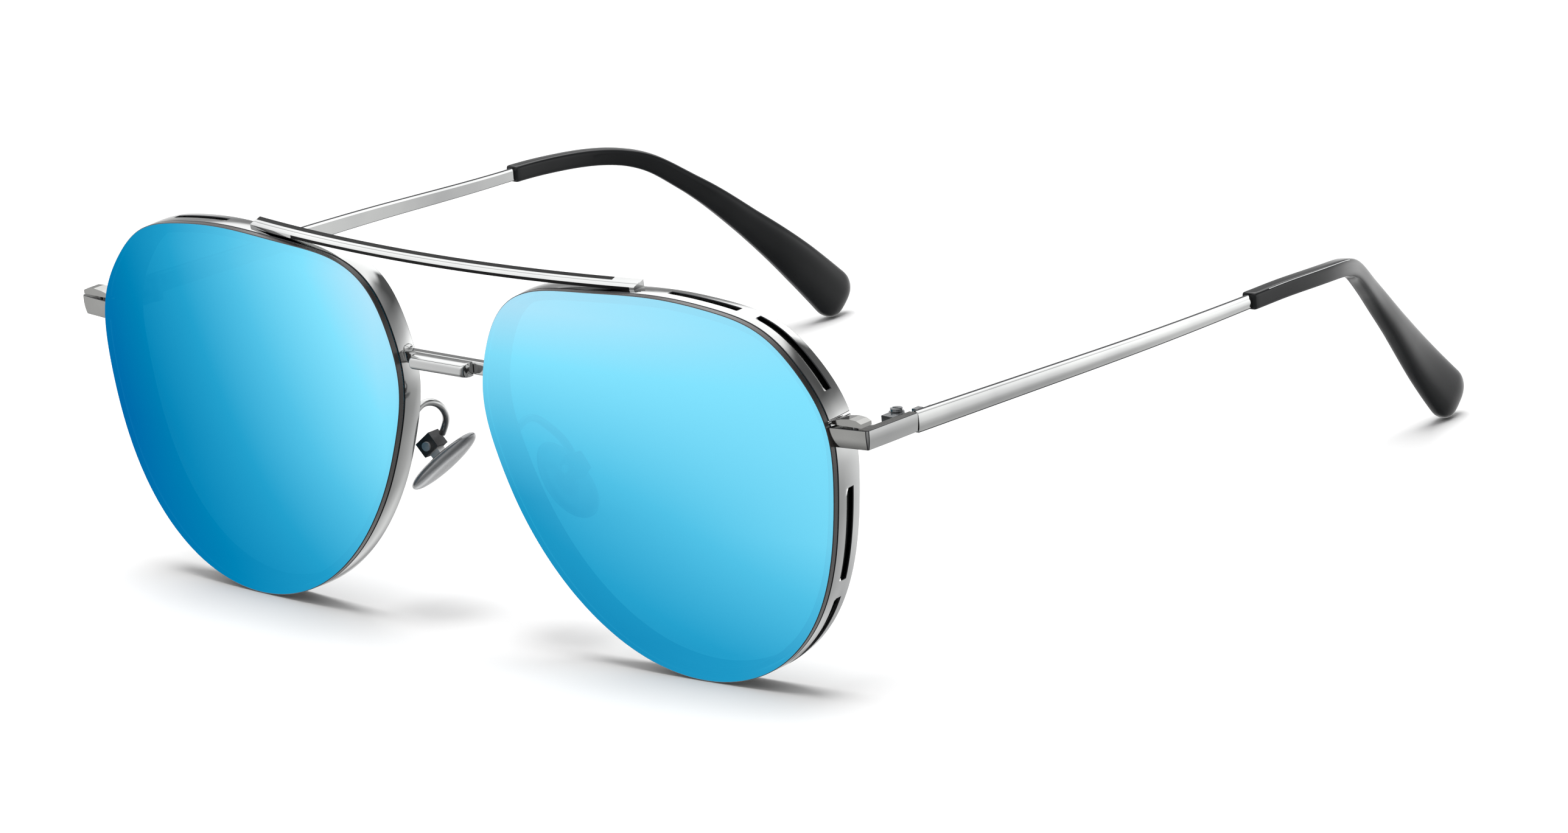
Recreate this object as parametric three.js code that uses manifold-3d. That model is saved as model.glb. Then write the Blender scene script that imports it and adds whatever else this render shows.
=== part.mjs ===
// Aviator sunglasses with mirror lenses, slotted metal rims, a brow bar and folding temples.
// Millimetres, +Z up. The front faces -Y, the temples run towards +Y, and X = 0 is the plane
// of symmetry. The wearer's left is +X. The glasses stand on both rims and both temple tips.
import * as THREE from 'three';
import { mergeVertices } from 'three/addons/utils/BufferGeometryUtils.js';
import Module from 'manifold-3d';

const wasm = await Module();
wasm.setup();

// ---- Driving dimensions ---------------------------------------------------------------

// Where the origin lies: under the middle of the whole object, on the surface it stands on.
const MIDDLE_DEPTH = 72.36;
const LIFT = 0.094;

// Lens: one outline for both eyes, in the lens's own plane, u outwards and v up.
const LENS_X = 38.6;
const LENS_Z = 28.4;
const WRAP = THREE.MathUtils.degToRad(3);
const TILT = THREE.MathUtils.degToRad(2);
const BASE_RADIUS = 300;
const LENS_THICKNESS = 0.9;
const BLANK_RADIUS = 37.5;
const LENS_OUTLINE = [
  [28.7, 0], [29.1, 6.2], [28.1, 11.8], [24.4, 17.5], [19.6, 21.9], [12.6, 24.1], [0, 25.1],
  [-12.0, 24.4], [-20.6, 23.3], [-25.9, 20.4], [-29.3, 14.4], [-30.8, 7.6], [-29.3, -0.3],
  [-24.9, -10.3], [-17.4, -19.8], [-7.1, -26.5], [3.0, -28.5], [12.5, -26.7], [20.8, -20.8],
  [26.4, -10.9],
];
const OUTLINE_STEPS = 72;

// Rim band: the silver strip round the lens edge, deeper at the temple side than at the nose.
const BAND_OUTSIDE = 0.1;
const BAND_WALL = 0.75;
const BAND_FRONT = 1.0;
const BAND_DEPTH = 3.25;
const BAND_DEPTH_SLOPE = 0.025;
const SLOT_LOW = 0.44;
const SLOT_HIGH = 0.74;
const SLOT_ANGLES = [[90, 62], [57, 30], [2, -25], [-31, -58]];
const LOCK_ANGLE = 20.6;
const LOCK_SLIT = 0.3;

// Inner rim: the black ring inside the band that carries the lens.
const CARRIER_OUTSIDE = -0.85;
const CARRIER_WALL = 0.8;
const CARRIER_DEPTH = 2.9;

// Clearance between a rim and the pieces that are brazed on it.
const BRAZE_GAP = 0.12;

// Brow bar: a flat strip over both rims, its top face leaning forwards.
const BROW_HALF = 35.6;
const BROW_Y = -1.0;
const BROW_BOW = 2.9;
const BROW_Z = 53.8;
const BROW_RISE = 0.2;
const BROW_SECTION = [[0, 0], [1.9, 0.7], [2.05, -0.5], [0.1, -0.55]];

// Lower bridge: a back bar from rim to rim and a raised half-round bar on its front.
const BRIDGE_Z = 38.9;
const BRIDGE_HEIGHT = 2.0;
const BRIDGE_BACK = 3.1;
const BRIDGE_STEP = 1.8;
const BRIDGE_FACE_HALF = 5.5;
const BRIDGE_FACE_DEPTH = 2.0;

// End piece: from the rim round the corner and back to the hinge.
const END_X = 73;
const END_FRONT_Y = 4.2;
const END_BACK_Y = 14.1;
const END_TOP = 38.6;
const END_BOTTOM = 35.85;
const END_DROP = 0.02;
const ARM_WALL = 1.45;

// Hinge: a three-barrel hinge on the inner side, its axis upright.
const HINGE_X = 70.0;
const HINGE_Y = 13.3;
const BARREL_RADIUS = 1.05;
const BARREL_HOLE = 0.5;
const HINGE_SCREW = 0.4;

// Temple bar and tip: the bar is flat, bows outwards a little and tapers. Its core runs on
// inside the tip, which hooks down behind the ear and widens into a paddle.
const BAR_LINE = [[72.28, 14.3, 37.0], [72.65, 40.0, 36.1], [72.55, 62.0, 35.25], [71.2, 87.0, 34.25]];
const BAR_THICKNESS = 1.3;
const BAR_HEIGHTS = [2.95, 1.82];
const TIP_LINE = [
  [71.0, 92.0, 34.1], [70.6, 98.0, 33.7], [69.7, 104.0, 33.1], [68.0, 109.3, 32.1],
  [66.2, 113.4, 30.4], [64.6, 117.2, 27.6], [62.9, 121.4, 24.1], [61.1, 127.1, 18.8],
  [59.5, 132.7, 13.3], [58.5, 138.1, 7.7], [58.12, 143.7, 1.84],
];
const TIP_THICKNESS = [2.4, 2.2, 2.5, 3.0, 3.1];
const TIP_HEIGHTS = [2.4, 2.45, 2.5, 3.1, 4.4, 6.3, 7.8];
const TIP_ROUNDING = [[2.6, 1.0], [1.5, 0.97], [0.7, 0.89], [0.2, 0.76], [0.0, 0.6]];
const CORE_SIZE = [0.8, 1.0];
const CORE_END = 0.8;

// Nose pad: an oval pad that rocks on a small screw in a box at the end of a bent wire.
const PAD_CENTRE = new THREE.Vector3(10.9, 10.1, 21.2);
const PAD_DOWN = new THREE.Vector3(0.738, -0.169, -0.653).normalize();
const PAD_OUT = new THREE.Vector3(0.655, -0.056, 0.754).normalize();
const PAD_BACK = new THREE.Vector3().crossVectors(PAD_OUT, PAD_DOWN).normalize();
const PAD_LENGTH = 13.0;
const PAD_WIDTH = 6.8;
const PAD_THICKNESS = 1.8;
const BOX_SIZE = [2.9, 2.4];
const BOX_SPAN = [1.9, 4.2];
const PAD_PIVOT = 2.9;
const PAD_SCREW = 0.35;
const ARM_WIRE = 0.5;
const ARM_LINE = [
  [9.35, 3.65, 30.0], [9.2, 5.4, 30.9], [8.95, 7.4, 30.5], [9.2, 9.2, 28.9],
  [10.35, 10.5, 26.75], [11.53, 10.8, 24.87],
];

// ---- Materials ------------------------------------------------------------------------

const silver = { color: 0xc4c7c9, roughness: 0.22, metalness: 1.0 };
const steel = { color: 0x9a9da0, roughness: 0.3, metalness: 1.0 };
const lacquer = { color: 0x17181a, roughness: 0.35, metalness: 0.0 };
const mirror = { color: 0x2aa6dc, roughness: 0.05, metalness: 0.6 };
const acetate = { color: 0x1b1d1e, roughness: 0.25, metalness: 0.0 };
const silicone = { color: 0xa4a8aa, roughness: 0.35, metalness: 0.4 };

// ---- Solids ---------------------------------------------------------------------------

const group = new THREE.Group();

// A geometry with merged corners whose faces point outwards.
function closed(geometry) {
  geometry.deleteAttribute('normal');
  geometry.deleteAttribute('uv');
  const merged = mergeVertices(geometry, 1e-5);
  const index = merged.index.array;
  const corner = [new THREE.Vector3(), new THREE.Vector3(), new THREE.Vector3()];
  let volume = 0;
  for (let i = 0; i < index.length; i += 3) {
    corner.forEach((c, k) => c.fromBufferAttribute(merged.attributes.position, index[i + k]));
    volume += corner[0].dot(corner[1].cross(corner[2]));
  }
  if (volume < 0) {
    for (let i = 0; i < index.length; i += 3) {
      [index[i], index[i + 1]] = [index[i + 1], index[i]];
    }
  }
  return merged;
}

function toSolid(geometry) {
  const merged = closed(geometry);
  const vertProperties = Float32Array.from(merged.attributes.position.array);
  const triVerts = Uint32Array.from(merged.index.array);
  return new wasm.Manifold(new wasm.Mesh({ numProp: 3, vertProperties, triVerts }));
}

function fromSolid(solid) {
  const mesh = solid.getMesh();
  const geometry = new THREE.BufferGeometry();
  geometry.setAttribute('position', new THREE.BufferAttribute(mesh.vertProperties, 3));
  geometry.setIndex(new THREE.BufferAttribute(mesh.triVerts, 1));
  return geometry;
}

// Move every corner of a geometry: place(x, y, z) gives its new position.
function warped(geometry, place) {
  const position = geometry.attributes.position;
  for (let i = 0; i < position.count; i += 1) {
    const point = place(position.getX(i), position.getY(i), position.getZ(i));
    position.setXYZ(i, point.x, point.y, point.z);
  }
  return geometry;
}

function extruded(shape, low, high, steps = 1) {
  const depth = high - low;
  const geometry = new THREE.ExtrudeGeometry(shape, { depth, steps, bevelEnabled: false });
  return geometry.translate(0, 0, low);
}

function polygon(points) {
  return new THREE.Shape(points.map(([x, y]) => new THREE.Vector2(x, y)));
}

function box(lowCorner, highCorner) {
  const size = highCorner.map((high, k) => high - lowCorner[k]);
  const middle = highCorner.map((high, k) => (high + lowCorner[k]) / 2);
  return new THREE.BoxGeometry(...size).translate(...middle);
}

// An upright cylinder between two heights.
function post(x, y, low, high, radius, sides = 20) {
  const geometry = new THREE.CylinderGeometry(radius, radius, high - low, sides);
  return geometry.rotateX(Math.PI / 2).translate(x, y, (low + high) / 2);
}

// A closed body through a list of stations; each places the section's unit outline.
function loft(section, stations) {
  const geometry = extruded(section, 0, stations.length - 1, stations.length - 1);
  return warped(geometry, (x, y, z) => {
    const station = stations[Math.round(z)];
    return station.point.clone()
      .addScaledVector(station.side, x * station.width)
      .addScaledVector(station.up, y * station.height);
  });
}

// Rectangle of half sizes 1 with its corners cut off.
function chamfered(cut) {
  return polygon([
    [1, -1 + cut], [1, 1 - cut], [1 - cut, 1], [-1 + cut, 1],
    [-1, 1 - cut], [-1, -1 + cut], [-1 + cut, -1], [1 - cut, -1],
  ]);
}

function roundSection(sides) {
  const points = [];
  for (let i = 0; i < sides; i += 1) {
    const angle = (2 * Math.PI * i) / sides;
    points.push([Math.cos(angle), Math.sin(angle)]);
  }
  return polygon(points);
}

function vectors(rows) {
  return rows.map((row) => new THREE.Vector3(...row));
}

// The directions across a path that leave "up" as near to +Z as the path allows.
function across(tangent) {
  const side = new THREE.Vector3().crossVectors(tangent, new THREE.Vector3(0, 0, 1)).normalize();
  const up = new THREE.Vector3().crossVectors(side, tangent).normalize();
  return { side, up };
}

function mirroredGeometry(geometry) {
  return warped(geometry.clone(), (x, y, z) => new THREE.Vector3(-x, y, z));
}

function add(name, geometry, look) {
  const mesh = new THREE.Mesh(closed(geometry), new THREE.MeshStandardMaterial(look));
  mesh.geometry.computeVertexNormals();
  mesh.name = name;
  group.add(mesh);
}

// A piece on the wearer's left and its mirror image on the right.
function addPair(name, geometry, look) {
  add(`${name}_left`, geometry.clone(), look);
  add(`${name}_right`, mirroredGeometry(geometry), look);
}

// ---- Lens plane -----------------------------------------------------------------------

const outline = new THREE.CatmullRomCurve3(vectors(LENS_OUTLINE.map(([u, v]) => [u, v, 0])), true);
outline.arcLengthDivisions = 800;

function outlinePoint(t, offset) {
  const wrapped = ((t % 1) + 1) % 1;
  const point = outline.getPointAt(wrapped);
  const tangent = outline.getTangentAt(wrapped);
  return [point.x + offset * tangent.y, point.y - offset * tangent.x];
}

// The place on the outline that lies at an angle seen from the lens centre.
function outlineAt(degrees) {
  const wanted = THREE.MathUtils.degToRad(degrees);
  let best = 0;
  let bestMiss = Infinity;
  for (let i = 0; i < 1440; i += 1) {
    const [u, v] = outlinePoint(i / 1440, 0);
    const miss = 1 - Math.cos(Math.atan2(v, u) - wanted);
    if (miss < bestMiss) {
      bestMiss = miss;
      best = i / 1440;
    }
  }
  return best;
}

function outlineLoop(offset) {
  return Array.from({ length: OUTLINE_STEPS }, (_, i) => outlinePoint(i / OUTLINE_STEPS, offset));
}

function ringShape(outside, wall) {
  const shape = polygon(outlineLoop(outside));
  shape.holes.push(new THREE.Path(polygon(outlineLoop(outside - wall)).getPoints()));
  return shape;
}

// From the lens's own plane to the model: w is the depth behind the plane.
function fromLensPlane(u, v, w) {
  const y = w * Math.cos(TILT) - v * Math.sin(TILT);
  const z = v * Math.cos(TILT) + w * Math.sin(TILT);
  return new THREE.Vector3(
    LENS_X + u * Math.cos(WRAP) - y * Math.sin(WRAP),
    u * Math.sin(WRAP) + y * Math.cos(WRAP),
    LENS_Z + z,
  );
}

function sagitta(u, v) {
  return (u * u + v * v) / (2 * BASE_RADIUS);
}

// Cut across a ring between two places on its outline.
function ringCut(from, to, low, high) {
  const steps = Math.max(1, Math.round(Math.abs(to - from) * OUTLINE_STEPS));
  const places = Array.from({ length: steps + 1 }, (_, i) => from + ((to - from) * i) / steps);
  const outer = places.map((t) => outlinePoint(t, 1.2));
  const inner = places.map((t) => outlinePoint(t, -2.6)).reverse();
  return toSolid(extruded(polygon([...outer, ...inner]), low, high));
}

function lens() {
  const front = [];
  const back = [];
  for (let i = 0; i <= 5; i += 1) {
    const radius = (BLANK_RADIUS * i) / 5;
    front.push(new THREE.Vector2(radius, sagitta(radius, 0)));
    back.unshift(new THREE.Vector2(radius, sagitta(radius, 0) + LENS_THICKNESS));
  }
  const blank = new THREE.LatheGeometry([...front, ...back], 36).rotateX(Math.PI / 2);
  const cutter = extruded(polygon(outlineLoop(0)), -1, 6);
  const cut = toSolid(blank).intersect(toSolid(cutter));
  return warped(fromSolid(cut), fromLensPlane);
}

function rimPiece(outside, wall, depth, cuts) {
  let ring = toSolid(extruded(ringShape(outside, wall), 0, 1));
  for (const cut of cuts) {
    ring = ring.subtract(cut);
  }
  return warped(fromSolid(ring), (u, v, w) => {
    const span = depth + BAND_DEPTH_SLOPE * u;
    return fromLensPlane(u, v, BAND_FRONT + w * span + sagitta(u, v));
  });
}

function lockCut() {
  const place = outlineAt(LOCK_ANGLE);
  const half = LOCK_SLIT / 2 / outline.getLength();
  return ringCut(place - half, place + half, -0.5, 1.5);
}

function rimBand() {
  const slots = SLOT_ANGLES.map(([from, to]) => (
    ringCut(outlineAt(from), outlineAt(from) - ((outlineAt(from) - outlineAt(to) + 1) % 1),
      SLOT_LOW, SLOT_HIGH)
  ));
  return rimPiece(BAND_OUTSIDE, BAND_WALL, BAND_DEPTH, [...slots, lockCut()]);
}

function innerRim() {
  return rimPiece(CARRIER_OUTSIDE, CARRIER_WALL, CARRIER_DEPTH, [lockCut()]);
}

// The space that one rim needs, which cuts the pieces that are brazed against it.
function rimSpace() {
  const disc = extruded(polygon(outlineLoop(BAND_OUTSIDE + BRAZE_GAP)), -3, 12);
  return warped(disc, (u, v, w) => fromLensPlane(u, v, w + sagitta(u, v)));
}

const leftRimSpace = toSolid(rimSpace());
const rightRimSpace = toSolid(mirroredGeometry(rimSpace()));

// ---- Bars between the rims ------------------------------------------------------------

function browBar() {
  const steps = 24;
  const bar = extruded(polygon(BROW_SECTION), -1, 1, steps);
  warped(bar, (y, z, along) => {
    const back = BROW_Y + BROW_BOW * along * along + y;
    const height = BROW_Z + BROW_RISE * along * along + z;
    return new THREE.Vector3(along * BROW_HALF, back, height);
  });
  return fromSolid(toSolid(bar).subtract(leftRimSpace).subtract(rightRimSpace));
}

function bridge() {
  const low = BRIDGE_Z - BRIDGE_HEIGHT / 2;
  const high = BRIDGE_Z + BRIDGE_HEIGHT / 2;
  const back = box([-10, BRIDGE_STEP, low + 0.05], [10, BRIDGE_BACK, high - 0.1]);
  const nose = [];
  for (let i = 0; i <= 8; i += 1) {
    const angle = Math.PI / 2 + (Math.PI * i) / 8;
    nose.push([
      BRIDGE_STEP + BRIDGE_FACE_DEPTH * Math.cos(angle),
      (BRIDGE_HEIGHT / 2) * Math.sin(angle),
    ]);
  }
  const joint = BRIDGE_STEP + 0.3;
  nose.push([joint, -BRIDGE_HEIGHT / 2], [joint, BRIDGE_HEIGHT / 2]);
  const section = polygon(nose);
  const face = warped(extruded(section, -BRIDGE_FACE_HALF, BRIDGE_FACE_HALF), (y, z, x) => (
    new THREE.Vector3(x, y, BRIDGE_Z + z)
  ));
  const whole = toSolid(back).add(toSolid(face));
  return fromSolid(whole.subtract(leftRimSpace).subtract(rightRimSpace));
}

// ---- End piece, lock and hinge --------------------------------------------------------

const LOCK_X = 70.1;
const LOCK_Y = 4.9;
const LOCK_ARCH = [
  [66.5, 38.85], [72.2, 38.95], [72.2, 39.5], [71.4, 39.85], [70.2, 39.95], [68.7, 39.75],
  [66.5, 39.15],
];

function endPiece() {
  const inner = END_X - ARM_WALL;
  const plan = polygon([
    [66.5, 3.0], [72.55, 4.0], [END_X, END_FRONT_Y + 0.25], [END_X, END_BACK_Y],
    [inner, END_BACK_Y], [inner, 7.0], [inner - 0.7, 6.1], [66.5, 5.9],
  ]);
  const blank = warped(extruded(plan, 0, 1), (x, y, z) => {
    const back = y - END_FRONT_Y;
    const top = END_TOP - END_DROP * back;
    const bottom = END_BOTTOM - (END_DROP / 2) * back;
    return new THREE.Vector3(x, y, bottom + z * (top - bottom));
  });
  const hole = post(LOCK_X, LOCK_Y, 30, 45, 0.5, 16);
  const counterbore = post(LOCK_X, LOCK_Y, 30, END_BOTTOM + 0.65, 0.95, 20);
  return fromSolid(toSolid(blank).subtract(leftRimSpace).subtract(toSolid(hole))
    .subtract(toSolid(counterbore)));
}

function rimLock() {
  const arch = extruded(polygon(LOCK_ARCH), 3.8, 5.9);
  const block = warped(arch, (x, z, y) => new THREE.Vector3(x, y, z));
  const hole = post(LOCK_X, LOCK_Y, 30, 39.6, 0.5, 16);
  return fromSolid(toSolid(block).subtract(leftRimSpace).subtract(toSolid(hole)));
}

function lockScrew() {
  const shaft = post(LOCK_X, LOCK_Y, END_BOTTOM + 0.4, 39.45, 0.4, 12);
  const head = post(LOCK_X, LOCK_Y, END_BOTTOM + 0.05, END_BOTTOM + 0.5, 0.85, 20);
  const slot = box([LOCK_X - 1, LOCK_Y - 0.12, 30], [LOCK_X + 1, LOCK_Y + 0.12, END_BOTTOM + 0.25]);
  return fromSolid(toSolid(shaft).add(toSolid(head)).subtract(toSolid(slot)));
}

function barrel(low, high) {
  return toSolid(post(HINGE_X, HINGE_Y, low, high, BARREL_RADIUS));
}

function hingeFront() {
  const face = END_X - ARM_WALL - BRAZE_GAP;
  let leaf = toSolid(box([face - 0.5, 8.8, 36.0], [face, 12.1, 38.1]));
  for (const [low, high] of [[35.35, 36.35], [37.4, 38.4]]) {
    leaf = leaf.add(barrel(low, high));
    leaf = leaf.add(toSolid(box([HINGE_X - 0.6, 10.9, low], [face, HINGE_Y, high])));
  }
  return fromSolid(leaf.subtract(toSolid(post(HINGE_X, HINGE_Y, 30, 45, BARREL_HOLE, 16))));
}

function hingeRear() {
  const face = END_X - ARM_WALL - BRAZE_GAP - 0.12;
  let leaf = toSolid(box([face - 0.5, 14.6, 35.8], [face, 19.0, 37.8]));
  leaf = leaf.add(toSolid(box([face - 0.9, 15.8, 36.0], [face, 17.1, 38.1])));
  leaf = leaf.add(barrel(36.45, 37.3));
  leaf = leaf.add(toSolid(box([HINGE_X - 0.6, HINGE_Y, 36.45], [face, 16.5, 37.3])));
  return fromSolid(leaf.subtract(toSolid(post(HINGE_X, HINGE_Y, 30, 45, BARREL_HOLE, 16))));
}

function hingeScrew() {
  const shaft = post(HINGE_X, HINGE_Y, 35.2, 38.6, HINGE_SCREW, 12);
  const head = post(HINGE_X, HINGE_Y, 38.5, 38.85, 0.85, 20);
  const slot = box([HINGE_X - 1, HINGE_Y - 0.13, 38.67], [HINGE_X + 1, HINGE_Y + 0.13, 40]);
  return fromSolid(toSolid(shaft).add(toSolid(head)).subtract(toSolid(slot)));
}

// ---- Temple ---------------------------------------------------------------------------

const barLine = new THREE.CatmullRomCurve3(vectors(BAR_LINE), false, 'centripetal');
const tipStart = BAR_LINE[BAR_LINE.length - 1];
const tipLine = new THREE.CatmullRomCurve3(vectors([tipStart, ...TIP_LINE]), false, 'centripetal');

// A value that runs through a list of knots spread evenly from 0 to 1.
function through(knots, t) {
  const place = Math.min(Math.max(t, 0), 1) * (knots.length - 1);
  const low = Math.min(Math.floor(place), knots.length - 2);
  return THREE.MathUtils.lerp(knots[low], knots[low + 1], place - low);
}

// A section across a line at t, with its full width and height.
function sectionAt(line, t, width, height) {
  const point = line.getPointAt(t);
  return { point, ...across(line.getTangentAt(t)), width: width / 2, height: height / 2 };
}

// The core inside the tip, entering through its mouth; also the tool that bores the tip.
function core(clearance) {
  const [width, height] = CORE_SIZE.map((size) => size + 2 * clearance);
  const stations = Array.from({ length: 17 }, (_, i) => (
    sectionAt(tipLine, (CORE_END * i) / 16, width, height)
  ));
  const mouth = sectionAt(tipLine, 0, width, height);
  mouth.point.addScaledVector(tipLine.getTangentAt(0), -1);
  return toSolid(loft(chamfered(0.3), [mouth, ...stations]));
}

function templeBar() {
  const stop = 1 - BRAZE_GAP / barLine.getLength();
  const stations = Array.from({ length: 13 }, (_, i) => (
    sectionAt(barLine, (stop * i) / 12, BAR_THICKNESS, through(BAR_HEIGHTS, i / 12))
  ));
  return fromSolid(toSolid(loft(chamfered(0.25), stations)).add(core(0)));
}

function templeTip() {
  const length = tipLine.getLength();
  const plain = 1 - TIP_ROUNDING[0][0] / length;
  const rows = Array.from({ length: 24 }, (_, i) => [(plain * i) / 24, 1]);
  rows.push(...TIP_ROUNDING.map(([left, scale]) => [1 - left / length, scale]));
  const stations = rows.map(([t, scale]) => (
    sectionAt(tipLine, t, through(TIP_THICKNESS, t) * scale, through(TIP_HEIGHTS, t) * scale)
  ));
  return fromSolid(toSolid(loft(chamfered(0.42), stations)).subtract(core(0.12)));
}

// ---- Nose pads ------------------------------------------------------------------------

// From the pad's own frame: down its length, back across its width, out from the nose.
function fromPad(down, back, out) {
  return PAD_CENTRE.clone().addScaledVector(PAD_DOWN, down)
    .addScaledVector(PAD_BACK, back)
    .addScaledVector(PAD_OUT, out);
}

function padBlock(lowCorner, highCorner) {
  return toSolid(warped(box(lowCorner, highCorner), fromPad));
}

function padPin(low, high, radius, sides = 14) {
  return toSolid(warped(post(0, 0, low, high, radius, sides), (x, y, z) => (
    fromPad(x, z, PAD_PIVOT + y)
  )));
}

function nosePad() {
  const points = [];
  for (let i = 0; i < 28; i += 1) {
    const angle = (2 * Math.PI * i) / 28;
    const along = Math.cos(angle);
    const half = (PAD_WIDTH / 2 - 0.5) * (1 + 0.1 * along);
    points.push([along * (PAD_LENGTH / 2 - 0.5), Math.sin(angle) * half]);
  }
  const pad = new THREE.ExtrudeGeometry(polygon(points), {
    depth: PAD_THICKNESS - 1.0, bevelThickness: 0.5, bevelSize: 0.5, bevelSegments: 2,
  });
  return warped(pad, (x, y, z) => fromPad(x, y, z - PAD_THICKNESS / 2 + 0.5));
}

function padLug() {
  const lug = padBlock([-0.8, -0.75, PAD_THICKNESS / 2 + 0.05], [0.8, 0.75, PAD_PIVOT + 0.75]);
  return fromSolid(lug.subtract(padPin(-3, 3, PAD_SCREW + 0.1)));
}

function padBox() {
  const [along, wide] = BOX_SIZE.map((size) => size / 2);
  const [low, high] = BOX_SPAN;
  const outside = padBlock([-along, -wide, low], [along, wide, high]);
  const inside = padBlock([0.42 - along, 0.38 - wide, 0], [along - 0.42, wide - 0.38, high - 0.35]);
  return fromSolid(outside.subtract(inside).subtract(padPin(-3, 3, PAD_SCREW + 0.1)));
}

function padScrew() {
  const wide = BOX_SIZE[1] / 2;
  const shaft = padPin(-wide - 0.1, wide + 0.15, PAD_SCREW);
  return fromSolid(shaft.add(padPin(-wide - 0.4, -wide - 0.05, 0.65, 18)));
}

function padArm() {
  const line = new THREE.CatmullRomCurve3(vectors(ARM_LINE), false, 'centripetal');
  const stations = [];
  for (let i = 0; i <= 16; i += 1) {
    const point = line.getPointAt(i / 16);
    const tangent = line.getTangentAt(i / 16);
    const side = new THREE.Vector3().crossVectors(tangent, new THREE.Vector3(1, 0, 0)).normalize();
    const up = new THREE.Vector3().crossVectors(side, tangent).normalize();
    stations.push({ point, side, up, width: ARM_WIRE, height: ARM_WIRE });
  }
  return loft(roundSection(10), stations);
}

// ---- Assembly -------------------------------------------------------------------------

addPair('lens', lens(), mirror);
addPair('inner_rim', innerRim(), lacquer);
addPair('rim_band', rimBand(), silver);
add('brow_bar', browBar(), silver);
add('bridge', bridge(), silver);
addPair('end_piece', endPiece(), silver);
addPair('rim_lock', rimLock(), silver);
addPair('lock_screw', lockScrew(), steel);
addPair('hinge_front', hingeFront(), steel);
addPair('hinge_rear', hingeRear(), steel);
addPair('hinge_screw', hingeScrew(), steel);
addPair('temple_bar', templeBar(), silver);
addPair('temple_tip', templeTip(), acetate);
addPair('pad_arm', padArm(), silver);
addPair('pad_box', padBox(), steel);
addPair('pad_screw', padScrew(), steel);
addPair('pad_lug', padLug(), steel);
addPair('nose_pad', nosePad(), silicone);

group.position.set(0, -MIDDLE_DEPTH, LIFT);

export default group;
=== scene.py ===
import bmesh
import bpy
import math
import numpy as np
from mathutils import Matrix, Vector

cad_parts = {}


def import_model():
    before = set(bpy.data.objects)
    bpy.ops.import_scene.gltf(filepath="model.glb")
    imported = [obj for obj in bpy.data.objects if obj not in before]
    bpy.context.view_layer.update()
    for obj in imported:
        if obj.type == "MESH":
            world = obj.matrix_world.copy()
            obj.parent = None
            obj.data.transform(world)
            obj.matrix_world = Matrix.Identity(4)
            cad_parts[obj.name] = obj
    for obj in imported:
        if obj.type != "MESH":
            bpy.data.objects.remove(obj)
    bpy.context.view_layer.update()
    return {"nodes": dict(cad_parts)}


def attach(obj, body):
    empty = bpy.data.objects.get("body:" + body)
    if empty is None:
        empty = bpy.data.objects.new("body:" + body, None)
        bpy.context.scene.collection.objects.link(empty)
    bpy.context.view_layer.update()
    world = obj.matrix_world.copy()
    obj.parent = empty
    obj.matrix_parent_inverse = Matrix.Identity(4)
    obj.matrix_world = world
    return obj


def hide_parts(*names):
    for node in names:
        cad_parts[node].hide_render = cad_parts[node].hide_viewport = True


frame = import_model()

# From the drawing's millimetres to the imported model's metres: moved by SHIFT, then scaled.
MM = 0.001
SHIFT = np.array([0.0, -72.36, 0.094])
FRAME = ("frame", "frame")

# ---- Dimensions shared with the CAD model, in millimetres -------------------------------

LENS_X = 38.6
LENS_Z = 28.4
WRAP = math.radians(3)
TILT = math.radians(2)
BASE_RADIUS = 300.0
LENS_THICKNESS = 0.9
LENS_OUTLINE = [
    (28.7, 0), (29.1, 6.2), (28.1, 11.8), (24.4, 17.5), (19.6, 21.9), (12.6, 24.1), (0, 25.1),
    (-12.0, 24.4), (-20.6, 23.3), (-25.9, 20.4), (-29.3, 14.4), (-30.8, 7.6), (-29.3, -0.3),
    (-24.9, -10.3), (-17.4, -19.8), (-7.1, -26.5), (3.0, -28.5), (12.5, -26.7), (20.8, -20.8),
    (26.4, -10.9),
]
BAND_OUTSIDE = 0.1
BAND_WALL = 0.75
BAND_FRONT = 1.0
BAND_DEPTH = 3.25
BAND_DEPTH_SLOPE = 0.025
BAND_CROWN = 0.12
SLOT_LOW = 0.44
SLOT_HIGH = 0.645
SLOT_ANGLES = [(84, 60), (54, 28), (2, -25), (-31, -58)]
LOCK_ANGLE = 20.6
LOCK_SLIT = 0.3
CARRIER_OUTSIDE = -0.85
CARRIER_WALL = 0.8
CARRIER_DEPTH = 2.9

BROW_HALF = 35.6
BROW_Y = -1.0
BROW_BOW = 2.9
BROW_Z = 53.8
BROW_RISE = 0.2

BRIDGE_Z = 38.9
BRIDGE_HEIGHT = 2.0
BRIDGE_BACK = 3.1
BRIDGE_STEP = 1.8
BRIDGE_FACE_HALF = 5.0
BRIDGE_FACE_DEPTH = 2.0

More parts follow.
